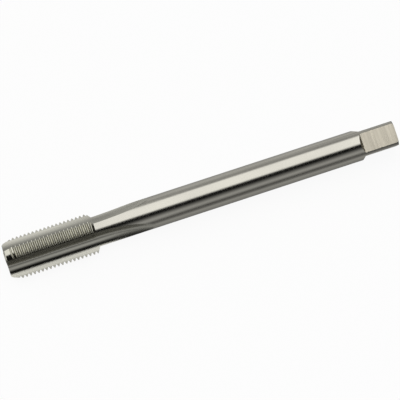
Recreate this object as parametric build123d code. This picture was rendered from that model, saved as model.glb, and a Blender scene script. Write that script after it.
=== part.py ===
from build123d import *
import math
import os

# Three-flute machine tap for a 55 degree parallel pipe thread, ground from one steel bar.
# All sizes are in millimetres and all angles in degrees.
# The tap lies on its plain shank on the plane Z = 0, with one land on top.
# Its axis runs along X: the cutting tip is at -X and the driving square at +X.
# X = 0 is half way along the tap and Y = 0 is below its axis.
# Angles round the axis run from +Y towards +Z, anticlockwise as seen from the square.
# In cutting, the tap turns the other way, clockwise as seen from the square.

# Whole tap
overall_length = 90.0
shank_diameter = 7.0
end_round = 0.4  # at the square end face, where only the round corners reach it

# Thread
pitch = 0.907
major_diameter = 9.728
thread_angle = 55.0
thread_truncation = 1 / 6  # share of the sharp height that is missing at crest and at root
thread_length = 19.6
thread_start = 0.57  # from the tip to the middle of a groove, where its helix crosses +Y
neck_slope = 58.0  # of the cone behind the thread, from the axis

# Tapered lead, from the chamfer at the tip up to the full thread
lead_start_diameter = 8.1
lead_length = 2.3
tip_chamfer = 0.4

# Flutes and lands
flute_count = 3
land_angle = 32.0
rake_angle = 5.0
core_diameter = 3.0
flute_root_radius = 2.15
flute_wall_radius = 12.0  # of the hollow side that rises to the heel of the next land
flute_past_thread = 0.6  # at full depth, from the end of the thread
flute_runout_radius = 45.0  # of the grinding wheel, which leaves this curve as it lifts out

# Driving square
square_width = 5.5
square_length = 7.8  # of the flats, from the square end
square_turn = 12.2  # of the uppermost flat, from facing straight up
shoulder_slope = 50.0  # of the bevels between shank and flats, from the axis
long_shoulder_slope = 27.0  # of the one bevel that was ground longer

# Centre holes in both end faces, on which the tap was held between points
centre_mouth_diameter = 2.0
centre_angle = 60.0
centre_pilot_diameter = 0.9
centre_depth = 2.4

# Overruns of the cutting shapes past the metal that they remove
overrun = 1.0
groove_overrun_angle = 12.0
groove_clearance = 0.03

major_radius = major_diameter / 2
shank_radius = shank_diameter / 2
core_radius = core_diameter / 2
lead_start_radius = lead_start_diameter / 2
half_thread_angle = math.radians(thread_angle / 2)
thread_sharp_height = pitch / 2 / math.tan(half_thread_angle)
thread_root_radius = major_radius - thread_sharp_height * (1 - 2 * thread_truncation)
tip_x = -overall_length / 2
square_end_x = overall_length / 2
land_centres = [90 + index * 360 / flute_count for index in range(flute_count)]


def polar(radius, angle):
    """Y and Z of a point at a radius and an angle round the axis."""
    return Vector(radius * math.cos(math.radians(angle)), radius * math.sin(math.radians(angle)))


def make_blank():
    """The round bar, turned and ground, with its lead, its threaded part's size and its shank."""
    lead_x = tip_x + tip_chamfer
    thread_end_x = tip_x + thread_length
    neck_end_x = thread_end_x + (major_radius - shank_radius) / math.tan(math.radians(neck_slope))
    outline = Polyline(
        (tip_x, 0),
        (tip_x, lead_start_radius - tip_chamfer),
        (lead_x, lead_start_radius),
        (lead_x + lead_length, major_radius),
        (thread_end_x, major_radius),
        (neck_end_x, shank_radius),
        (square_end_x, shank_radius),
        (square_end_x, 0),
        close=True,
    )
    blank = revolve(Plane.XZ * make_face(outline), axis=Axis.X)
    end_edge = blank.edges().filter_by(GeomType.CIRCLE).sort_by(Axis.X)[-1]
    return fillet(end_edge, end_round)


def flute_section():
    """Section of one flute, seen from the square, in front of a cutting edge that lies on +Y.

    The cutting face is straight from the crest, then comes the root arc, which touches the core
    circle, and then a wider arc, which is the wall that rises to the heel of the next land.
    """
    flute_angle = 360 / flute_count - land_angle
    cutting_edge = polar(major_radius, 0)
    heel = polar(major_radius, -flute_angle)
    face_out = polar(1, -rake_angle)
    face_normal = polar(1, -rake_angle - 90)
    root_off_face = flute_root_radius - major_radius * math.sin(math.radians(rake_angle))
    root_along_face = math.sqrt((core_radius + flute_root_radius) ** 2 - root_off_face**2)
    root_centre = face_normal * root_off_face + face_out * root_along_face

    face_end = root_centre - face_normal * flute_root_radius
    root_middle = root_centre - root_centre.normalized() * flute_root_radius

    to_heel = heel - root_centre
    centre_distance = flute_wall_radius - flute_root_radius
    side_sum = to_heel.length**2 + centre_distance**2 - flute_wall_radius**2
    wall_turn = math.degrees(math.acos(side_sum / (2 * to_heel.length * centre_distance)))
    wall_direction = math.degrees(math.atan2(to_heel.Y, to_heel.X)) + wall_turn
    wall_centre = root_centre + polar(centre_distance, wall_direction)
    wall_start = root_centre - polar(flute_root_radius, wall_direction)
    wall_middle = wall_centre + ((wall_start + heel) / 2 - wall_centre).normalized() * flute_wall_radius
    heel_radial = (heel - wall_centre).normalized()
    wall_rise = heel - wall_start
    wall_out = (wall_rise - heel_radial * wall_rise.dot(heel_radial)).normalized()

    outline = [
        Line(cutting_edge + face_out * major_radius, face_end),
        ThreePointArc(face_end, root_middle, wall_start),
        ThreePointArc(wall_start, wall_middle, heel),
        Polyline(
            heel,
            heel + wall_out * major_radius,
            polar(3 * major_radius, -flute_angle / 2),
            cutting_edge + face_out * major_radius,
        ),
    ]
    return make_face(outline), root_centre.normalized()


def make_flute_cutter():
    """What the grinding wheel removes for one flute: a straight run, then an arc as it lifts."""
    section, wheel_direction = flute_section()
    flute_length = thread_length + flute_past_thread
    runout_x = tip_x + flute_length
    section = Plane.YZ.offset(runout_x) * section
    wheel_reach = core_radius + flute_runout_radius
    wheel_axis = Axis(
        (runout_x, wheel_direction.X * wheel_reach, wheel_direction.Y * wheel_reach),
        (0, -wheel_direction.Y, wheel_direction.X),
    )
    lift = (major_radius - core_radius + overrun) / flute_runout_radius
    lift_angle = math.degrees(math.acos(1 - lift))
    straight = extrude(section, -(flute_length + overrun))
    runout = revolve(section, axis=wheel_axis, revolution_arc=lift_angle)
    return straight + runout


def make_groove_cutter():
    """The thread groove over one land: a V on a true helix, with a flat at the root and crest."""

    def half_width(radius):
        return (radius - thread_root_radius) * math.tan(half_thread_angle) + root_flat / 2

    root_flat = pitch * thread_truncation
    outer_radius = major_radius + groove_clearance
    profile = Polyline(
        (thread_root_radius, -half_width(thread_root_radius)),
        (outer_radius, -half_width(outer_radius)),
        (outer_radius, half_width(outer_radius)),
        (thread_root_radius, half_width(thread_root_radius)),
        close=True,
    )
    arc = land_angle + 2 * groove_overrun_angle
    helix = Helix(pitch=pitch, height=pitch * arc / 360, radius=thread_root_radius)
    groove = sweep(Plane.XZ * make_face(profile), path=helix, is_frenet=True)
    return Plane.YZ * groove


def make_grooves():
    """Every turn of the thread groove on every land, from the tip to the neck."""
    cutter = make_groove_cutter()
    turns = math.ceil(thread_length / pitch) + 2
    grooves = []
    for centre in land_centres:
        start = centre - land_angle / 2 - groove_overrun_angle
        for turn in range(turns):
            groove_x = tip_x + thread_start + pitch * (start / 360 + turn - 1)
            grooves.append(Pos(groove_x, 0, 0) * Rot(start, 0, 0) * cutter)
    return grooves


def make_square_cutters():
    """The four sides that are ground off the shank's end, with a bevel up to the round."""
    flat_x = square_end_x - square_length
    half_square = square_width / 2
    outside = shank_diameter
    cutters = []
    for side in range(4):
        slope = long_shoulder_slope if side == 3 else shoulder_slope
        bevel_length = (outside - half_square) / math.tan(math.radians(slope))
        profile = Polyline(
            (flat_x, half_square),
            (square_end_x + overrun, half_square),
            (square_end_x + overrun, outside),
            (flat_x - bevel_length, outside),
            close=True,
        )
        block = extrude(Plane.XZ * make_face(profile), amount=outside, both=True)
        cutters.append(Rot(square_turn + side * 90, 0, 0) * block)
    return cutters


def make_centre_hole():
    """A centre hole that opens towards +X at X = 0: a pilot and a cone."""
    mouth_radius = centre_mouth_diameter / 2
    pilot_radius = centre_pilot_diameter / 2
    cone_length = (mouth_radius - pilot_radius) / math.tan(math.radians(centre_angle / 2))
    outline = Polyline(
        (-centre_depth, 0),
        (-centre_depth, pilot_radius),
        (-cone_length, pilot_radius),
        (0, mouth_radius),
        (overrun, mouth_radius),
        (overrun, 0),
        close=True,
    )
    return revolve(Plane.XZ * make_face(outline), axis=Axis.X)


def make_tap():
    """The whole tap, about the X axis."""
    tap = make_blank()
    tap -= make_square_cutters()
    flute_cutter = make_flute_cutter()
    tap -= [Rot(centre - land_angle / 2, 0, 0) * flute_cutter for centre in land_centres]
    tap -= make_grooves()
    centre_hole = make_centre_hole()
    tap -= Pos(square_end_x, 0, 0) * centre_hole
    tap -= Pos(tip_x, 0, 0) * Rot(0, 0, 180) * centre_hole
    return tap


def lay_down(tap):
    """Raise the tap until its shank, or a land's edge if that is lower, touches Z = 0."""
    land_points = [centre + side * land_angle / 2 for centre in land_centres for side in (-1, 0, 1)]
    lowest_land = max(-major_radius * math.sin(math.radians(angle)) for angle in land_points)
    return Pos(0, 0, max(shank_radius, lowest_land)) * tap


os.makedirs("parts", exist_ok=True)
thread_tap = lay_down(make_tap())
export_step(thread_tap, "parts/thread_tap.step")
print("solids", len(thread_tap.solids()), "volume", round(thread_tap.volume, 2), "cubic mm")
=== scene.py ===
import bmesh
import bpy
import cmath
import math
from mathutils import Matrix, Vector
from mathutils.geometry import tessellate_polygon


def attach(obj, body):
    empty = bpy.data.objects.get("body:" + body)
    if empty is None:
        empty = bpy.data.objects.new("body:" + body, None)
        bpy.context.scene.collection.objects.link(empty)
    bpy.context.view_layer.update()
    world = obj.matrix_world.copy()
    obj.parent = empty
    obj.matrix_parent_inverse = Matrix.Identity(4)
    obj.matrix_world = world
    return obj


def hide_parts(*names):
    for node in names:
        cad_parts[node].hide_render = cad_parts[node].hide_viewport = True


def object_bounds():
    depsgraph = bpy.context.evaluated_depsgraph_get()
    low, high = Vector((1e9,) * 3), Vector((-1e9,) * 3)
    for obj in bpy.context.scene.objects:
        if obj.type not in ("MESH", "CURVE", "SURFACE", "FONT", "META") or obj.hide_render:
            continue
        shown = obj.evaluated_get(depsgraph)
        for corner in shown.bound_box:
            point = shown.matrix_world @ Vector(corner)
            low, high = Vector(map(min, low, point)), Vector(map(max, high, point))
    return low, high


# A thread tap of ground steel, lying on a white sheet in a studio.
# Its axis runs along X: the cutting tip is at -X and the driving square at +X.
# Angles round the axis run from +Y up to +Z, and a point of the section is a complex number, Y + Z i.
# Lengths are in metres and angles in degrees.

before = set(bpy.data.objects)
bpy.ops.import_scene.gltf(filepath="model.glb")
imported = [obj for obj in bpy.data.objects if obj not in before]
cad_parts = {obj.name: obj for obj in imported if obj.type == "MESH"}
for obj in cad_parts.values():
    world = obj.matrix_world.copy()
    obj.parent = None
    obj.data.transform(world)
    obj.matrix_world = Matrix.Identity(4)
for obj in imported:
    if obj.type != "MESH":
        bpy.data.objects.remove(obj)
cadLow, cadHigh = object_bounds()
mm = 0.001
axisHeight = 3.5 * mm  # of the tap's axis over the sheet
print("stage: frame loaded")


def polar(radius, degrees):
    return cmath.rect(radius, math.radians(degrees))


def mix(a, b, share):
    return a + (b - a) * share


# Steel

noise = {
    "range": (0.3, 0.7),  # in which nearly all of it lies
    "grainDetail": 3,
    "grainRoughness": 0.6,
    "grainHeight": 0.03 * mm,
    "blotchDetail": 2,
}
polishedSteel = {
    "name": "polishedSteel",
    "color": (0.405, 0.393, 0.350),
    "edgeTint": 0.55,
    "roughness": 0.15,
    "roughnessSwing": 0.05,
    "grainScale": (9000, 250, 250),  # waves in a metre: fewer in Y and Z, so the marks run round the bar
    "grainStrength": 0.05,
    "blotchScale": (90, 200, 200),
    "blotchShade": 0.08,
}
threadSteel = {
    "name": "threadSteel",
    "color": (0.405, 0.397, 0.342),
    "edgeTint": 0.6,
    "roughness": 0.14,
    "roughnessSwing": 0.05,
    "grainScale": (5200, 700, 700),
    "grainStrength": 0.12,
    "blotchScale": (420, 420, 420),
    "blotchShade": 0.16,
}
fluteSteel = {
    "name": "fluteSteel",
    "color": (0.445, 0.437, 0.385),
    "edgeTint": 0.6,
    "roughness": 0.12,
    "roughnessSwing": 0.04,
    "runoutRoughness": 0.25,
    "runoutX": (-27 * mm, -17 * mm),  # along which the finish gets that rough
    "teethRadii": (4.15 * mm, 4.35 * mm),  # from the axis, between which a flute's face gives way to teeth
    "teethShade": 0.69,  # of the colour of the teeth's faces, which is made darker from those radii out
    "grainScale": (160, 7000, 7000),  # the wheel left its marks along the flute
    "grainStrength": 0.12,
    "blotchScale": (90, 400, 400),
    "blotchShade": 0.10,
}
squareSteel = {
    "name": "squareSteel",
    "color": (0.630, 0.585, 0.485),
    "edgeTint": 0.6,
    "roughness": 0.32,
    "roughnessSwing": 0.10,
    "grainScale": (3400, 160, 160),
    "grainStrength": 0.30,
    "blotchScale": (900, 70, 70),
    "blotchShade": 0.38,
}


def addSocketValue(tree, socket, value):
    if isinstance(value, bpy.types.NodeSocket):
        tree.links.new(value, socket)
    elif value is not None:
        socket.default_value = value


# Each input is named by its socket's name, or by "in" and the socket's number
def addNode(tree, kind, settings=None, **inputs):
    node = tree.nodes.new(kind)
    for key, value in (settings or {}).items():
        setattr(node, key, value)
    for key, value in inputs.items():
        name = int(key[2:]) if key.startswith("in") else key.replace("_", " ")
        addSocketValue(tree, node.inputs[name], value)
    return node


def calculate(tree, operation, a, b=None, c=None):
    node = addNode(tree, "ShaderNodeMath", {"operation": operation})
    for socket, value in zip(node.inputs, (a, b, c)):
        addSocketValue(tree, socket, value)
    return node.outputs[0]


def makeRamp(tree, place, stops):
    ramp = addNode(tree, "ShaderNodeValToRGB", Fac=place)
    elements = ramp.color_ramp.elements
    while len(elements) < len(stops):
        elements.new(0.5)
    for element, (position, shade) in zip(elements, stops):
        element.position = position
        element.color = (shade, shade, shade, 1)
    return ramp.outputs[0]


def makeSteel(finish):
    material = bpy.data.materials.new(finish["name"])
    material.use_nodes = True
    tree = material.node_tree
    shader = tree.nodes["Principled BSDF"]
    place = addNode(tree, "ShaderNodeTexCoord").outputs["Object"]
    low, high = noise["range"]
    stretched = addNode(tree, "ShaderNodeMapping", Vector=place, Scale=finish["grainScale"])
    grain = addNode(
        tree, "ShaderNodeTexNoise", Vector=stretched.outputs[0], Scale=1,
        Detail=noise["grainDetail"], Roughness=noise["grainRoughness"],
    )
    spread = addNode(tree, "ShaderNodeMapping", Vector=place, Scale=finish["blotchScale"])
    blotch = addNode(
        tree, "ShaderNodeTexNoise", Vector=spread.outputs[0], Scale=1, Detail=noise["blotchDetail"],
    )
    tone = addNode(
        tree, "ShaderNodeMapRange", Value=blotch.outputs[0],
        From_Min=low, From_Max=high, To_Min=1 - finish["blotchShade"], To_Max=1,
    ).outputs[0]
    rough = addNode(
        tree, "ShaderNodeMapRange", Value=grain.outputs[0], From_Min=low, From_Max=high,
        To_Min=finish["roughness"] - finish["roughnessSwing"],
        To_Max=finish["roughness"] + finish["roughnessSwing"],
    ).outputs[0]
    if "runoutX" in finish:
        x, y, z = addNode(tree, "ShaderNodeSeparateXYZ", Vector=place).outputs
        up = calculate(tree, "SUBTRACT", z, axisHeight)
        radiusSquared = calculate(tree, "MULTIPLY_ADD", y, y, calculate(tree, "MULTIPLY", up, up))
        tooth = addNode(
            tree, "ShaderNodeMapRange", Value=calculate(tree, "SQRT", radiusSquared),
            From_Min=finish["teethRadii"][0], From_Max=finish["teethRadii"][1],
            To_Min=1.0, To_Max=finish["teethShade"],
        )
        tone = calculate(tree, "MULTIPLY", tone, tooth.outputs[0])
        more = addNode(
            tree, "ShaderNodeMapRange", {"interpolation_type": "SMOOTHSTEP"}, Value=x,
            From_Min=finish["runoutX"][0], From_Max=finish["runoutX"][1],
            To_Min=0.0, To_Max=finish["runoutRoughness"] - finish["roughness"],
        )
        rough = calculate(tree, "ADD", rough, more.outputs[0])
    color = addNode(
        tree, "ShaderNodeMix", {"data_type": "RGBA", "blend_type": "MULTIPLY"},
        Factor=1, in6=(*finish["color"], 1), in7=tone,
    )
    bump = addNode(
        tree, "ShaderNodeBump", Strength=finish["grainStrength"],
        Distance=noise["grainHeight"], Height=grain.outputs[0],
    )
    tint = finish["edgeTint"]
    shader.inputs["Metallic"].default_value = 1
    shader.inputs["Specular Tint"].default_value = (tint, tint, tint, 1)
    tree.links.new(color.outputs[2], shader.inputs["Base Color"])
    tree.links.new(rough, shader.inputs["Roughness"])
    tree.links.new(bump.outputs[0], shader.inputs["Normal"])
    return material


steels = [makeSteel(finish) for finish in (polishedSteel, threadSteel, fluteSteel, squareSteel)]
polished, threaded, fluted, squared = range(4)  # slots of the tap's mesh
print("stage: steel")


# Cutting end, from the tip to the neck

cuttingEnd = {
    "tipX": cadLow.x,
    "pitch": 0.907 * mm,
    "majorRadius": 4.864 * mm,
    "flankAngle": 27.5,  # from square across the axis
    "depthShare": 0.640327,  # of the pitch, from crest to root
    "roundShare": 0.137329,  # of the pitch, radius of crests and roots
    "arcSteps": 3,
    "flankSteps": 3,
    "threadStart": 0.57 * mm,  # how far the thread is turned on past the tip
    "threadLength": 19.6 * mm,
    "neckSlope": 58,
    "neckRadius": 3.5 * mm,
    "tipRadius": 4.05 * mm,  # at the small end of the lead
    "tipChamfer": 0.4 * mm,
    "leadLength": 2.3 * mm,
    "landCount": 3,
    "landAngle": 32,
    "firstEdge": 74,  # angle of the first cutting edge
    "rakeAngle": 5,
    "coreRadius": 1.5 * mm,
    "rootRadius": 2.15 * mm,
    "wallRadius": 12 * mm,
    "wheelRadius": 45 * mm,
    "landSteps": 16,
    "fluteSteps": 24,
    "sectionRings": 32,
    "halvings": 50,  # in the search for a flute's rim
    "weldDistance": 0.004 * mm,
}


# One flute's section in front of a cutting edge that lies on +Y: face, root arc and the hollow wall to
# the next heel
def makeFlute(size):
    landPitch = 360 / size["landCount"]
    edge = size["majorRadius"]
    root = size["rootRadius"]
    wall = size["wallRadius"]
    faceOut = polar(1, -size["rakeAngle"])
    rootOff = root - edge * math.sin(math.radians(size["rakeAngle"]))
    rootAlong = math.sqrt((size["coreRadius"] + root) ** 2 - rootOff**2)
    rootCentre = faceOut * complex(rootAlong, -rootOff)
    toHeel = polar(edge, size["landAngle"] - landPitch) - rootCentre
    sides = abs(toHeel) ** 2 + (wall - root) ** 2 - wall**2
    wallDirection = cmath.phase(toHeel) + math.acos(sides / (2 * abs(toHeel) * (wall - root)))
    wallTurn = (wallDirection + math.pi) % (2 * math.pi)
    faceTurn = math.radians(90 - size["rakeAngle"])
    wheelSide = rootCentre / abs(rootCentre)
    return {
        "rootCentre": rootCentre,
        "rootRadius": root,
        "rootLength": root * (wallTurn - faceTurn),
        "faceEnd": rootCentre + cmath.rect(root, faceTurn),
        "faceOut": faceOut,
        "wallCentre": rootCentre + cmath.rect(wall - root, wallDirection),
        "wallRadius": wall,
        "wallTurn": wallTurn,
        "middle": root * (wallTurn - cmath.phase(-wheelSide) % (2 * math.pi)),
        "wheelSide": wheelSide,
        "wheelReach": size["coreRadius"] + size["wheelRadius"],
    }


# A point of that section: how far it is from where wall and root arc meet, and from where the wheel lifts
def flutePoint(flute, distance, run):
    if distance < 0:
        turn = flute["wallTurn"] - distance / flute["wallRadius"]
        point = flute["wallCentre"] + cmath.rect(flute["wallRadius"], turn)
    elif distance < flute["rootLength"]:
        turn = flute["wallTurn"] - distance / flute["rootRadius"]
        point = flute["rootCentre"] + cmath.rect(flute["rootRadius"], turn)
    else:
        point = flute["faceEnd"] + flute["faceOut"] * (distance - flute["rootLength"])
    point *= flute["wheelSide"].conjugate()
    depth = flute["wheelReach"] - point.real
    lifted = flute["wheelReach"] - math.sqrt(depth**2 - run**2)
    return complex(lifted, point.imag) * flute["wheelSide"]


# How far along the section it comes out through a radius
def rimDistance(size, flute, radius, run, outside):
    inside = flute["middle"]
    for _ in range(size["halvings"]):
        middle = (inside + outside) / 2
        if abs(flutePoint(flute, middle, run)) < radius:
            inside = middle
        else:
            outside = middle
    return (inside + outside) / 2


# All round the section: the lands at one radius and the flutes between them
def sectionRing(size, flute, radius, run):
    landPitch = 360 / size["landCount"]
    wallRim = rimDistance(size, flute, radius, run, -size["majorRadius"])
    faceRim = rimDistance(size, flute, radius, run, flute["rootLength"] + size["majorRadius"])
    edge = flutePoint(flute, faceRim, run)
    sweep = cmath.phase(flutePoint(flute, wallRim, run) * polar(1, landPitch) / edge)
    points = []
    for land in range(size["landCount"]):
        spin = polar(1, size["firstEdge"] + land * landPitch)
        for step in range(size["landSteps"]):
            turn = cmath.phase(edge) + sweep * step / size["landSteps"]
            points.append(cmath.rect(radius, turn) * spin)
        for step in range(size["fluteSteps"]):
            place = mix(wallRim, faceRim, step / size["fluteSteps"])
            points.append(flutePoint(flute, place, run) * polar(1, landPitch) * spin)
    return points


# Where each column lies on the helix, as a share of a turn
def makeColumns(size):
    columns = []
    for land in range(size["landCount"]):
        edge = size["firstEdge"] + land * 360 / size["landCount"]
        heel = edge + size["landAngle"]
        nextEdge = edge + 360 / size["landCount"]
        for step in range(size["landSteps"]):
            columns.append({"turn": mix(edge, heel, step / size["landSteps"]) / 360, "onLand": True})
        for step in range(size["fluteSteps"]):
            columns.append({"turn": mix(heel, nextEdge, step / size["fluteSteps"]) / 360, "onLand": False})
    columns.append({**columns[0], "turn": columns[0]["turn"] + 1})
    return columns


# The section at even steps of radius, from the shank's out to the crests'
def makeSectionRings(size, flute):
    rows = []
    for ring in range(size["sectionRings"] + 1):
        radius = mix(size["neckRadius"], size["majorRadius"], ring / size["sectionRings"])
        points = sectionRing(size, flute, radius, 0)
        rows += [{"place": point} for point in points + points[:1]]
    return rows


# One pitch of the thread, from the middle of a root to the next: how far along and how deep
def makeThreadForm(size):
    pitch = size["pitch"]
    depth = size["depthShare"] * pitch
    radius = size["roundShare"] * pitch
    sweep = math.radians(90 - size["flankAngle"])
    half = []
    for step in range(size["arcSteps"] + 1):
        angle = sweep * step / size["arcSteps"]
        half.append((radius * math.sin(angle), depth - radius + radius * math.cos(angle)))
    flankStart = half[-1]
    flankEnd = (pitch / 2 - flankStart[0], depth - flankStart[1])
    for step in range(1, size["flankSteps"]):
        share = step / size["flankSteps"]
        half.append((mix(flankStart[0], flankEnd[0], share), mix(flankStart[1], flankEnd[1], share)))
    for along, down in reversed(half[:size["arcSteps"] + 1]):
        half.append((pitch / 2 - along, depth - down))
    rows = half + [(pitch - along, down) for along, down in reversed(half[1:-1])]
    return [{"along": along, "depth": down} for along, down in rows]


# Rows that Geometry Nodes can read, as the points of a hidden mesh
def pointTable(name, rows, vectors, numbers):
    mesh = bpy.data.meshes.new(name)
    mesh.from_pydata([(0, 0, 0)] * len(rows), [], [])
    for key in vectors:
        layer = mesh.attributes.new(key, "FLOAT_VECTOR", "POINT")
        for row, item in zip(rows, layer.data):
            item.vector = (0, row[key].real, row[key].imag)
    for key in numbers:
        layer = mesh.attributes.new(key, "FLOAT", "POINT")
        for row, item in zip(rows, layer.data):
            item.value = float(row[key])
    table = bpy.data.objects.new(name, mesh)
    bpy.context.scene.collection.objects.link(table)
    return table


def makeCuttingTree():
    tree = bpy.data.node_groups.new("cuttingEnd", "GeometryNodeTree")
    tree.interface.new_socket("Geometry", in_out="OUTPUT", socket_type="NodeSocketGeometry")
    sockets = (
        ("Section Rings", "Object"), ("Section Columns", "Object"), ("Thread Form", "Object"),
        ("Columns", "Int"), ("Rows in a Turn", "Int"), ("Turns", "Int"), ("First Turn", "Int"),
        ("Last Ring", "Float"), ("Ring Step", "Float"), ("Neck Radius", "Float"),
        ("Pitch", "Float"), ("Thread Start X", "Float"), ("Tip X", "Float"), ("Tip Face Radius", "Float"),
        ("Lead Radius", "Float"), ("Lead Slope", "Float"),
        ("Major Radius", "Float"), ("Thread End X", "Float"), ("Neck Slope", "Float"),
        ("Neck End X", "Float"), ("Axis Height", "Float"), ("Weld Distance", "Float"),
        ("Land Steel", "Material"), ("Flute Steel", "Material"),
    )
    for name, kind in sockets:
        tree.interface.new_socket(name, in_out="INPUT", socket_type="NodeSocket" + kind)
    given = addNode(tree, "NodeGroupInput").outputs

    def whole(operation, a, b):
        return addNode(tree, "FunctionNodeIntegerMath", {"operation": operation}, in0=a, in1=b).outputs[0]

    def combine(operation, a, b):
        return addNode(tree, "ShaderNodeVectorMath", {"operation": operation}, in0=a, in1=b).outputs[0]

    def scaled(vector, scale):
        node = addNode(tree, "ShaderNodeVectorMath", {"operation": "SCALE"}, in0=vector, Scale=scale)
        return node.outputs[0]

    def sample(table, name, kind, index):
        rows = addNode(tree, "GeometryNodeObjectInfo", Object=given[table]).outputs["Geometry"]
        column = addNode(tree, "GeometryNodeInputNamedAttribute", {"data_type": kind}, Name=name).outputs[0]
        read = addNode(
            tree, "GeometryNodeSampleIndex", {"data_type": kind, "domain": "POINT"},
            Geometry=rows, Value=column, Index=index,
        )
        return read.outputs[0]

    index = addNode(tree, "GeometryNodeInputIndex").outputs[0]
    rowsUp = whole("ADD", whole("MULTIPLY", given["Rows in a Turn"], given["Turns"]), 1)
    columnsUp = whole("ADD", given["Columns"], 1)
    grid = addNode(tree, "GeometryNodeMeshGrid", Vertices_X=columnsUp, Vertices_Y=rowsUp)

    # where each row lies along the helix, and how far out
    column = whole("DIVIDE_FLOOR", index, rowsUp)
    row = whole("MODULO", index, rowsUp)
    turn = whole("ADD", whole("DIVIDE_FLOOR", row, given["Rows in a Turn"]), given["First Turn"])
    formRow = whole("MODULO", row, given["Rows in a Turn"])
    turns = calculate(tree, "ADD", turn, sample("Section Columns", "turn", "FLOAT", column))
    along = calculate(
        tree, "ADD", sample("Thread Form", "along", "FLOAT", formRow),
        calculate(tree, "MULTIPLY", turns, given["Pitch"]),
    )
    x = addNode(
        tree, "ShaderNodeClamp", Value=calculate(tree, "ADD", along, given["Thread Start X"]),
        Min=given["Tip X"], Max=given["Neck End X"],
    ).outputs[0]
    depth = sample("Thread Form", "depth", "FLOAT", formRow)
    crest = calculate(tree, "SUBTRACT", given["Major Radius"], depth)
    pastTip = calculate(tree, "SUBTRACT", x, given["Tip X"])
    chamfer = calculate(tree, "ADD", pastTip, given["Tip Face Radius"])
    lead = calculate(tree, "MULTIPLY_ADD", pastTip, given["Lead Slope"], given["Lead Radius"])
    tip = calculate(tree, "MINIMUM", chamfer, lead)
    neck = calculate(
        tree, "MULTIPLY_ADD", calculate(tree, "SUBTRACT", given["Thread End X"], x),
        given["Neck Slope"], given["Major Radius"],
    )
    radius = calculate(tree, "MINIMUM", calculate(tree, "MINIMUM", crest, tip), neck)

    # between the two rings of the section that lie next to that radius
    pastNeck = calculate(tree, "SUBTRACT", radius, given["Neck Radius"])
    place = calculate(tree, "DIVIDE", pastNeck, given["Ring Step"])
    ring = calculate(tree, "MINIMUM", calculate(tree, "FLOOR", place), given["Last Ring"])
    inner = whole("ADD", whole("MULTIPLY", ring, columnsUp), column)
    outer = whole("ADD", inner, columnsUp)
    innerPoint = sample("Section Rings", "place", "FLOAT_VECTOR", inner)
    outerPoint = sample("Section Rings", "place", "FLOAT_VECTOR", outer)
    share = calculate(tree, "SUBTRACT", place, ring)
    further = scaled(combine("SUBTRACT", outerPoint, innerPoint), share)
    axisPoint = addNode(tree, "ShaderNodeCombineXYZ", X=x, Y=0.0, Z=given["Axis Height"]).outputs[0]
    position = combine("ADD", combine("ADD", axisPoint, innerPoint), further)
    placed = addNode(
        tree, "GeometryNodeSetPosition", Geometry=grid.outputs["Mesh"], Position=position,
    ).outputs[0]

    # the land's faces keep a mark of their own through the weld
    faceColumn = whole("DIVIDE_FLOOR", index, whole("SUBTRACT", rowsUp, 1))
    marked = addNode(
        tree, "GeometryNodeStoreNamedAttribute", {"data_type": "FLOAT", "domain": "FACE"},
        Geometry=placed, Name="onLand", Value=sample("Section Columns", "onLand", "FLOAT", faceColumn),
    ).outputs[0]
    welded = addNode(
        tree, "GeometryNodeMergeByDistance", Geometry=marked, Distance=given["Weld Distance"],
    ).outputs[0]
    realized = addNode(tree, "GeometryNodeRealizeInstances", Geometry=welded).outputs[0]
    dressed = addNode(tree, "GeometryNodeSetMaterial", Geometry=realized, Material=given["Flute Steel"])
    onLand = addNode(tree, "GeometryNodeInputNamedAttribute", {"data_type": "FLOAT"}, Name="onLand")
    dressed = addNode(
        tree, "GeometryNodeSetMaterial", Geometry=dressed.outputs[0],
        Selection=calculate(tree, "GREATER_THAN", onLand.outputs[0], 0.5), Material=given["Land Steel"],
    )
    addNode(tree, "NodeGroupOutput", Geometry=dressed.outputs[0])
    return tree


def neckEndX(size):
    drop = size["majorRadius"] - size["neckRadius"]
    return size["tipX"] + size["threadLength"] + drop / math.tan(math.radians(size["neckSlope"]))


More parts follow.
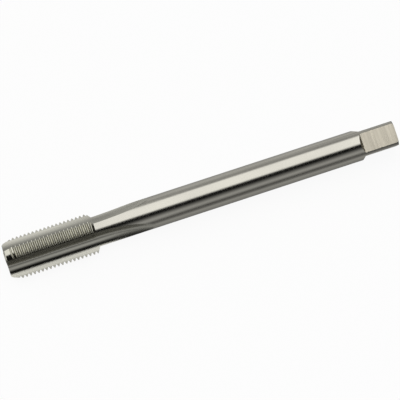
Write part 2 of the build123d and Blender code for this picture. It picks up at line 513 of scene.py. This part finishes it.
def makeCuttingEnd(size, flute, form):
    neckEnd = neckEndX(size)
    columns = makeColumns(size)
    ringTable = pointTable("sectionRings", makeSectionRings(size, flute), ("place",), ())
    columnTable = pointTable("sectionColumns", columns, (), ("turn", "onLand"))
    formTable = pointTable("threadForm", form, (), ("along", "depth"))
    firstTurn = -math.ceil(columns[-1]["turn"] + 1)
    lastTurn = math.ceil((neckEnd - size["tipX"]) / size["pitch"] - columns[0]["turn"])
    leadSlope = (size["majorRadius"] - size["tipRadius"]) / size["leadLength"]
    values = {
        "Section Rings": ringTable,
        "Section Columns": columnTable,
        "Thread Form": formTable,
        "Columns": len(columns) - 1,
        "Rows in a Turn": len(form),
        "Turns": lastTurn - firstTurn,
        "First Turn": firstTurn,
        "Last Ring": size["sectionRings"] - 1,
        "Ring Step": (size["majorRadius"] - size["neckRadius"]) / size["sectionRings"],
        "Neck Radius": size["neckRadius"],
        "Pitch": size["pitch"],
        "Thread Start X": size["tipX"] + size["threadStart"],
        "Tip X": size["tipX"],
        "Tip Face Radius": size["tipRadius"] - size["tipChamfer"],
        "Lead Radius": size["tipRadius"] - size["tipChamfer"] * leadSlope,
        "Lead Slope": leadSlope,
        "Major Radius": size["majorRadius"],
        "Thread End X": size["tipX"] + size["threadLength"],
        "Neck Slope": math.tan(math.radians(size["neckSlope"])),
        "Neck End X": neckEnd,
        "Axis Height": axisHeight,
        "Weld Distance": size["weldDistance"],
        "Land Steel": steels[threaded],
        "Flute Steel": steels[fluted],
    }
    tree = makeCuttingTree()
    holder = bpy.data.objects.new("cuttingEnd", bpy.data.meshes.new("cuttingEnd"))
    modifier = holder.modifiers.new("cuttingEnd", "NODES")
    modifier.node_group = tree
    for item in tree.interface.items_tree:
        if item.in_out == "INPUT":
            modifier[item.identifier] = values[item.name]
    bpy.context.scene.collection.objects.link(holder)
    view = bpy.context.evaluated_depsgraph_get()
    mesh = bpy.data.meshes.new_from_object(holder.evaluated_get(view))
    for piece in (holder, ringTable, columnTable, formTable):
        bpy.data.objects.remove(piece)
    for polygon in mesh.polygons:
        polygon.material_index = steels.index(mesh.materials[polygon.material_index])
    return mesh


flute = makeFlute(cuttingEnd)
cuttingMesh = makeCuttingEnd(cuttingEnd, flute, makeThreadForm(cuttingEnd))
print("stage: cutting end,", len(cuttingMesh.polygons), "faces")


# Shank and driving square, as rings with the same columns as the cutting end

shank = {
    "radius": cuttingEnd["neckRadius"],
    "fluteEndX": cadLow.x + 20.2 * mm,  # where the flutes start to run out
    "runoutRings": 28,
    "spreadLength": 9 * mm,  # over which the columns spread out again behind the flutes
    "spreadRings": 8,
}
square = {
    "endX": cadHigh.x,
    "halfWidth": 2.75 * mm,
    "flatLength": 7.8 * mm,
    "firstAngle": 12.2,  # of the back flat's normal
    "sideSlopes": (27, 50, 50, 50),  # bevels from the back flat round over the top
    "flatSteps": 18,
    "cornerSteps": 12,
    "gatherLength": 3 * mm,  # over which the columns close up before a bevel
    "gatherShares": (0.25, 0.5, 0.75, 1),  # of it, where the rings lie
    "bevelRings": 10,
    "flatShares": (0.33, 0.67, 1),  # the same along the flats
    "endRound": 0.4 * mm,
    "endRings": 5,
}
centreHole = {
    "mouthRadius": 1.0 * mm,
    "pilotRadius": 0.45 * mm,
    "angle": 60,
    "depth": 2.4 * mm,
    "steps": 48,
}

perLand = cuttingEnd["landSteps"] + cuttingEnd["fluteSteps"]
quarterSteps = square["flatSteps"] + square["cornerSteps"]
openAngle = 45 * square["flatSteps"] / quarterSteps  # each way from a side's normal, on the plain round
# how many columns the square's first side lies behind the first land
sideShift = round((cuttingEnd["firstEdge"] - square["firstAngle"] + openAngle) / 90 * quarterSteps)


# From the neck to where the wheel has left the metal
def makeRunoutRings():
    deepest = flute["wheelReach"] - shank["radius"]
    runoutLength = math.sqrt(cuttingEnd["wheelRadius"] ** 2 - deepest**2)
    startRun = neckEndX(cuttingEnd) - shank["fluteEndX"]
    rings = [(neckEndX(cuttingEnd), sectionRing(cuttingEnd, flute, shank["radius"], 0))]
    for ring in range(1, shank["runoutRings"] + 1):
        run = mix(startRun, runoutLength, 1 - (1 - ring / shank["runoutRings"]) ** 2)
        rings.append((shank["fluteEndX"] + run, sectionRing(cuttingEnd, flute, shank["radius"], run)))
    return rings


def bevelStart(side):
    slope = math.tan(math.radians(square["sideSlopes"][side]))
    return square["endX"] - square["flatLength"] - (shank["radius"] - square["halfWidth"]) / slope


# One side of the square at a place along it: how far out its flat is, or None where it isn't cut yet
def sideWidth(x, side):
    if x <= bevelStart(side):
        return None
    slope = math.tan(math.radians(square["sideSlopes"][side]))
    return square["halfWidth"] + max(square["endX"] - square["flatLength"] - x, 0) * slope


def squareRing(x):
    radius = shank["radius"]
    roundIn = x - (square["endX"] - square["endRound"])
    if roundIn > 0:
        radius += math.sqrt(max(square["endRound"] ** 2 - roundIn**2, 0)) - square["endRound"]
    widths = [sideWidth(x, side) for side in range(4)]
    halfAngles = []
    for side in range(4):
        if widths[side] is None:
            gather = (bevelStart(side) - x) / square["gatherLength"]
            halfAngles.append(openAngle * min(gather, 1))
        else:
            halfAngles.append(math.degrees(math.acos(min(widths[side] / radius, 1))))
    points = []
    for side in range(4):
        normal = square["firstAngle"] + side * 90
        halfAngle = halfAngles[side]
        for step in range(square["flatSteps"]):
            place = 2 * step / square["flatSteps"] - 1
            if widths[side] is None:
                points.append(polar(radius, normal + halfAngle * place))
            else:
                across = widths[side] * math.tan(math.radians(halfAngle)) * place
                points.append(complex(widths[side], across) * polar(1, normal))
        cornerStart = normal + halfAngle
        cornerEnd = normal + 90 - halfAngles[(side + 1) % 4]
        for step in range(square["cornerSteps"]):
            points.append(polar(radius, mix(cornerStart, cornerEnd, step / square["cornerSteps"])))
    return points[sideShift:] + points[:sideShift]


# Whether a column lies on a flat or its bevel there
def isFlat(column, x):
    side, step = divmod((column + sideShift) % (4 * quarterSteps), quarterSteps)
    return step < square["flatSteps"] and x > bevelStart(side)


def makeSquareRings(startX, startPoints):
    flatX = square["endX"] - square["flatLength"]
    firstBevel = min(bevelStart(side) for side in range(4))
    fullAngle = math.acos(square["halfWidth"] / shank["radius"])
    places = set()
    for slope in set(square["sideSlopes"]):
        for step in range(square["bevelRings"] + 1):
            width = shank["radius"] * math.cos(fullAngle * step / square["bevelRings"])
            places.add(flatX - (width - square["halfWidth"]) / math.tan(math.radians(slope)))
    places |= {firstBevel - square["gatherLength"] * share for share in square["gatherShares"]}
    places |= {mix(flatX, square["endX"] - square["endRound"], share) for share in square["flatShares"]}
    for step in range(1, square["endRings"] + 1):
        angle = math.radians(90 * step / square["endRings"])
        places.add(square["endX"] - square["endRound"] * (1 - math.sin(angle)))
    rings = []
    even = squareRing(startX)
    for step in range(1, shank["spreadRings"] + 1):
        share = step / shank["spreadRings"]
        points = []
        for start, end in zip(startPoints, even):
            turn = cmath.phase(end / start) * share
            points.append(start * cmath.exp(1j * turn))
        rings.append((startX + shank["spreadLength"] * share**2, points))
    rings += [(x, squareRing(x)) for x in sorted(places)]
    return rings


def placed(x, point):
    return Vector((x, point.real, axisHeight + point.imag))


def makeRing(shape, x, points):
    return [shape.verts.new(placed(x, point)) for point in points]


def joinRings(shape, ring, nextRing, finishOf):
    columns = len(ring)
    for column in range(columns):
        beyond = (column + 1) % columns
        face = shape.faces.new((ring[column], ring[beyond], nextRing[beyond], nextRing[column]))
        face.material_index = finishOf(column)


# An end face round its centre hole, looking towards -X or +X
def closeEnd(shape, ring, facing, finish):
    x = ring[0].co.x
    mouth = centreHole["mouthRadius"]
    pilot = centreHole["pilotRadius"]
    coneDepth = (mouth - pilot) / math.tan(math.radians(centreHole["angle"] / 2))
    circle = [polar(1, 360 * step / centreHole["steps"]) for step in range(centreHole["steps"])]
    hole = [
        makeRing(shape, x - facing * depth, [point * radius for point in circle])
        for depth, radius in ((0, mouth), (coneDepth, pilot), (centreHole["depth"], pilot))
    ]
    outline = ring + hole[0]
    for corners in tessellate_polygon([[v.co for v in ring], [v.co for v in hole[0]]]):
        face = shape.faces.new([outline[corner] for corner in corners])
        face.material_index = finish
        face.normal_update()
        if face.normal.x * facing < 0:
            face.normal_flip()
    for outer, inner in zip(hole, hole[1:]):
        pair = (outer, inner) if facing > 0 else (inner, outer)
        joinRings(shape, *pair, lambda column: finish)
    floor = shape.faces.new(hole[-1] if facing > 0 else list(reversed(hole[-1])))
    floor.material_index = finish


def makeTapBody():
    shape = bmesh.new()
    tipRing = sectionRing(cuttingEnd, flute, cuttingEnd["tipRadius"] - cuttingEnd["tipChamfer"], 0)
    closeEnd(shape, makeRing(shape, cuttingEnd["tipX"], tipRing), -1, squared)

    runoutRings = makeRunoutRings()
    rings = [makeRing(shape, x, points) for x, points in runoutRings]
    for ring, nextRing in zip(rings, rings[1:]):
        joinRings(
            shape, ring, nextRing,
            lambda column: polished if column % perLand < cuttingEnd["landSteps"] else fluted,
        )
    squareRings = makeSquareRings(*runoutRings[-1])
    last = rings[-1]
    for x, points in squareRings:
        ring = makeRing(shape, x, points)
        middle = (x + last[0].co.x) / 2
        joinRings(
            shape, last, ring,
            lambda column: squared if isFlat(column, middle) else polished,
        )
        last = ring
    closeEnd(shape, last, 1, squared)
    shape.from_mesh(cuttingMesh)
    bmesh.ops.remove_doubles(shape, verts=shape.verts, dist=cuttingEnd["weldDistance"])
    return shape


bodyFinish = {
    "sharpAngle": 24,
    "splitAngle": 6,  # the same between two finishes
    "shankMargin": 1e-7,  # from the shank's radius, for what counts as its round
}


def finishBody(shape):
    sharpAngle = math.radians(bodyFinish["sharpAngle"])
    splitAngle = math.radians(bodyFinish["splitAngle"])
    for face in shape.faces:
        face.smooth = True
    for edge in shape.edges:
        if len(edge.link_faces) == 2:
            first, second = edge.link_faces
            split = first.material_index != second.material_index
            edge.smooth = edge.calc_face_angle(0) < (splitAngle if split else sharpAngle)
    mesh = bpy.data.meshes.new("tapBody")
    shape.to_mesh(mesh)
    shape.free()
    for steel in steels:
        mesh.materials.append(steel)

    # the round of the shank is shaded as a true cylinder
    axis = Vector((0, 0, axisHeight))
    normals = [Vector((0, 0, 0))] * len(mesh.loops)
    onShank = []
    for vertex in mesh.vertices:
        out = vertex.co - axis
        out.x = 0
        onShank.append(abs(out.length - shank["radius"]) < bodyFinish["shankMargin"])
    for polygon in mesh.polygons:
        if polygon.material_index == polished and all(onShank[index] for index in polygon.vertices):
            for loop, index in zip(polygon.loop_indices, polygon.vertices):
                out = mesh.vertices[index].co - axis
                out.x = 0
                normals[loop] = out.normalized()
    mesh.normals_split_custom_set(normals)
    body = bpy.data.objects.new("tapBody", mesh)
    bpy.context.scene.collection.objects.link(body)
    return body


tapBody = finishBody(makeTapBody())
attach(tapBody, "root")
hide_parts("thread_tap")
print("stage: tap,", len(tapBody.data.polygons), "faces")


# White sheet under the tap, with painted shade in what the steel mirrors

sheet = {
    "halfSize": 1.5,
    "color": (0.80, 0.80, 0.80, 1),
    "whiteShare": 0.93,  # of plain white in what the camera sees
    "mirrorShare": 0.7,  # and of the sheet's painted shade below in what the steel mirrors
    "shadeReach": 60,  # millimetres that the painted shades span, each way from the middle of the tap
    "alongShades": ((-22, 0.72), (-6, 1), (46, 1), (52, 0.15)),  # painted shade: less light by the tip and past the square
    # painted shade across the sheet: darker in front of the tap and close by it, as if in its shadow and
    # the cards'
    "acrossShades": (
        (-50, 0.0), (-30, 0.10), (-20, 0.28), (-12, 0.62), (-8, 0.51), (-5, 0.62), (2, 0.6), (8, 1.0),
    ),
}


def makeSheet():
    half = sheet["halfSize"]
    mesh = bpy.data.meshes.new("whiteSheet")
    corners = [(-half, -half, 0), (half, -half, 0), (half, half, 0), (-half, half, 0)]
    mesh.from_pydata(corners, [], [(0, 1, 2, 3)])
    paper = bpy.data.materials.new("whitePaper")
    paper.use_nodes = True
    tree = paper.node_tree
    tree.nodes.clear()
    matt = addNode(tree, "ShaderNodeBsdfDiffuse", Color=sheet["color"])
    rays = addNode(tree, "ShaderNodeLightPath").outputs
    mirrored = calculate(tree, "MAXIMUM", rays["Is Glossy Ray"], rays["Is Transmission Ray"])
    share = calculate(
        tree, "MAXIMUM", calculate(tree, "MULTIPLY", rays["Is Camera Ray"], sheet["whiteShare"]),
        calculate(tree, "MULTIPLY", mirrored, sheet["mirrorShare"]),
    )
    place = addNode(tree, "ShaderNodeTexCoord").outputs["Object"]
    along, across, _ = addNode(tree, "ShaderNodeSeparateXYZ", Vector=place).outputs
    reach = sheet["shadeReach"]
    paintedShades = [
        makeRamp(
            tree, calculate(tree, "MULTIPLY_ADD", distance, 0.5 / (reach * mm), 0.5),
            [(stop / reach / 2 + 0.5, shade) for stop, shade in stops],
        )
        for distance, stops in ((across, sheet["acrossShades"]), (along, sheet["alongShades"]))
    ]
    # the painted shade is seen only in what the steel mirrors; the camera sees plain white
    light = calculate(tree, "MAXIMUM", calculate(tree, "MULTIPLY", *paintedShades), rays["Is Camera Ray"])
    paintedShadeGlow = addNode(tree, "ShaderNodeEmission", Strength=light)
    blend = addNode(tree, "ShaderNodeMixShader", in0=share, in1=matt.outputs[0], in2=paintedShadeGlow.outputs[0])
    addNode(tree, "ShaderNodeOutputMaterial", Surface=blend.outputs[0])
    mesh.materials.append(paper)
    floor = bpy.data.objects.new("whiteSheet", mesh)
    bpy.context.scene.collection.objects.link(floor)
    return floor


makeSheet()
print("stage: sheet")


# Studio: one wide softbox over the back of the tap, grey and black cards in front

studio = {
    # how far a direction leans from straight up, to the back if positive, and the light from there
    "lights": (
        (-180, 0.50), (-92, 0.30), (-88, 0.11), (-82, 0.28), (-73, 0.52), (-65, 0.70), (-57, 0.57),
        (-49, 0.36), (-42, 0.20), (-35, 0.07), (-30, 0.008), (-14, 0.008), (-2, 1.94), (49.5, 1.94),
        (60, 0.55), (72, 0.53), (80, 0.65), (88, 0.80), (180, 0.80),
    ),
    "lightScale": 2,  # the ramp's colours go up to 1
    # the same over the cutting end
    "tipLights": (
        (-180, 0.50), (-100, 0.26), (-86, 0.36), (-72, 0.58), (-59, 0.62), (-46, 0.33), (-34, 0.06),
        (-26, 0.008), (-7.5, 0.008), (-3.5, 1.85), (49.5, 1.85), (58, 1.72), (63, 1.38), (69, 1.08),
        (74, 0.73), (78, 0.42), (88, 0.56), (180, 0.76),
    ),
    # A direction's X share runs from -1, towards the tip's end, to 1, towards the square's end.
    "tipLightsEnd": (0.015, 0.05),  # X share over which those lights pass into the first
    # From one X share to another, all swings by so many degrees for each unit: towards the square all of it
    # to the front, and towards the tip the black card widens from its middle to the back and to the front.
    "swings": ((0.09, 1, 28), (0.45, 1, 165)),
    "cardBack": (0.15, 1, -42),
    "cardFront": (0.06, 0.30, 190),
    "cardMiddle": -22,
    "fade": (0.60, 0.86),  # X share over which all fades towards the square's end
    "fadedShare": 0.12,  # of the light that is left there
}


def makeStudio():
    world = bpy.data.worlds.new("studio")
    bpy.context.scene.world = world
    world.use_nodes = True
    tree = world.node_tree
    tree.nodes.clear()
    direction = addNode(tree, "ShaderNodeTexCoord").outputs["Generated"]
    x, y, z = addNode(tree, "ShaderNodeSeparateXYZ", Vector=direction).outputs
    lean = calculate(tree, "ARCTAN2", y, z)

    def swung(angle, side, start, end, swing):
        past = calculate(tree, "MAXIMUM", calculate(tree, "MULTIPLY_ADD", x, side, -start), 0.0)
        past = calculate(tree, "MINIMUM", past, end - start)
        return calculate(tree, "MULTIPLY_ADD", past, math.radians(swing), angle)

    for swing in studio["swings"]:
        lean = swung(lean, 1.0, *swing)
    middle = math.radians(studio["cardMiddle"])
    above = calculate(tree, "MAXIMUM", swung(lean, -1.0, *studio["cardBack"]), middle)
    below = calculate(tree, "MINIMUM", swung(lean, -1.0, *studio["cardFront"]), middle)
    lean = calculate(tree, "SUBTRACT", calculate(tree, "ADD", above, below), middle)
    place = calculate(tree, "MULTIPLY_ADD", lean, 1 / (2 * math.pi), 0.5)
    scale = studio["lightScale"]
    ramps = [
        makeRamp(tree, place, [(angle / 360 + 0.5, light / scale) for angle, light in lights])
        for lights in (studio["tipLights"], studio["lights"])
    ]
    pastTip = addNode(
        tree, "ShaderNodeMapRange", {"interpolation_type": "SMOOTHSTEP"}, Value=x,
        From_Min=studio["tipLightsEnd"][0], From_Max=studio["tipLightsEnd"][1],
    ).outputs[0]
    ramp = addNode(tree, "ShaderNodeMix", Factor=pastTip, in2=ramps[0], in3=ramps[1]).outputs[0]
    fade = addNode(
        tree, "ShaderNodeMapRange", {"interpolation_type": "SMOOTHSTEP"}, Value=x,
        From_Min=studio["fade"][0], From_Max=studio["fade"][1],
        To_Min=1.0, To_Max=studio["fadedShare"],
    ).outputs[0]
    strength = calculate(tree, "MULTIPLY", ramp, scale)
    strength = calculate(tree, "MULTIPLY", strength, fade)
    light = addNode(tree, "ShaderNodeBackground", Color=(1, 1, 1, 1), Strength=strength)
    white = addNode(tree, "ShaderNodeBackground", Color=(1, 1, 1, 1), Strength=1)
    camera = addNode(tree, "ShaderNodeLightPath").outputs["Is Camera Ray"]
    blend = addNode(tree, "ShaderNodeMixShader", in0=camera, in1=light.outputs[0], in2=white.outputs[0])
    addNode(tree, "ShaderNodeOutputWorld", Surface=blend.outputs[0])


makeStudio()
bpy.context.scene.view_settings.view_transform = "Standard"
print("stage: studio")


# Camera, high above the front of the tap and a little to its left

cameraView = {
    "elevation": 75,
    "yaw": 18.71,
    "distance": 0.4,
    "frameWidth": 87.9 * mm,  # that the image spans at that distance
    "sensor": 36,  # millimetres
    "clipStart": 0.01,
    "aimRight": -0.365 * mm,  # from the middle of the tap's axis to the middle of the image
    "aimUp": -0.798 * mm,
}


def makeCamera():
    yaw = math.radians(cameraView["yaw"])
    elevation = math.radians(cameraView["elevation"])
    ahead = Vector((math.sin(yaw), math.cos(yaw), 0))
    right = Vector((math.cos(yaw), -math.sin(yaw), 0))
    forward = ahead * math.cos(elevation) - Vector((0, 0, math.sin(elevation)))
    up = right.cross(forward)
    target = Vector(((cadLow.x + cadHigh.x) / 2, 0, axisHeight))
    target += right * cameraView["aimRight"] + up * cameraView["aimUp"]
    data = bpy.data.cameras.new("camera")
    data.sensor_width = cameraView["sensor"]
    data.lens = cameraView["sensor"] * cameraView["distance"] / cameraView["frameWidth"]
    data.clip_start = cameraView["clipStart"]
    camera = bpy.data.objects.new("camera", data)
    camera.location = target - forward * cameraView["distance"]
    camera.rotation_euler = (-forward).to_track_quat("Z", "Y").to_euler()
    bpy.context.scene.collection.objects.link(camera)
    bpy.context.scene.camera = camera


makeCamera()
print("stage: camera")
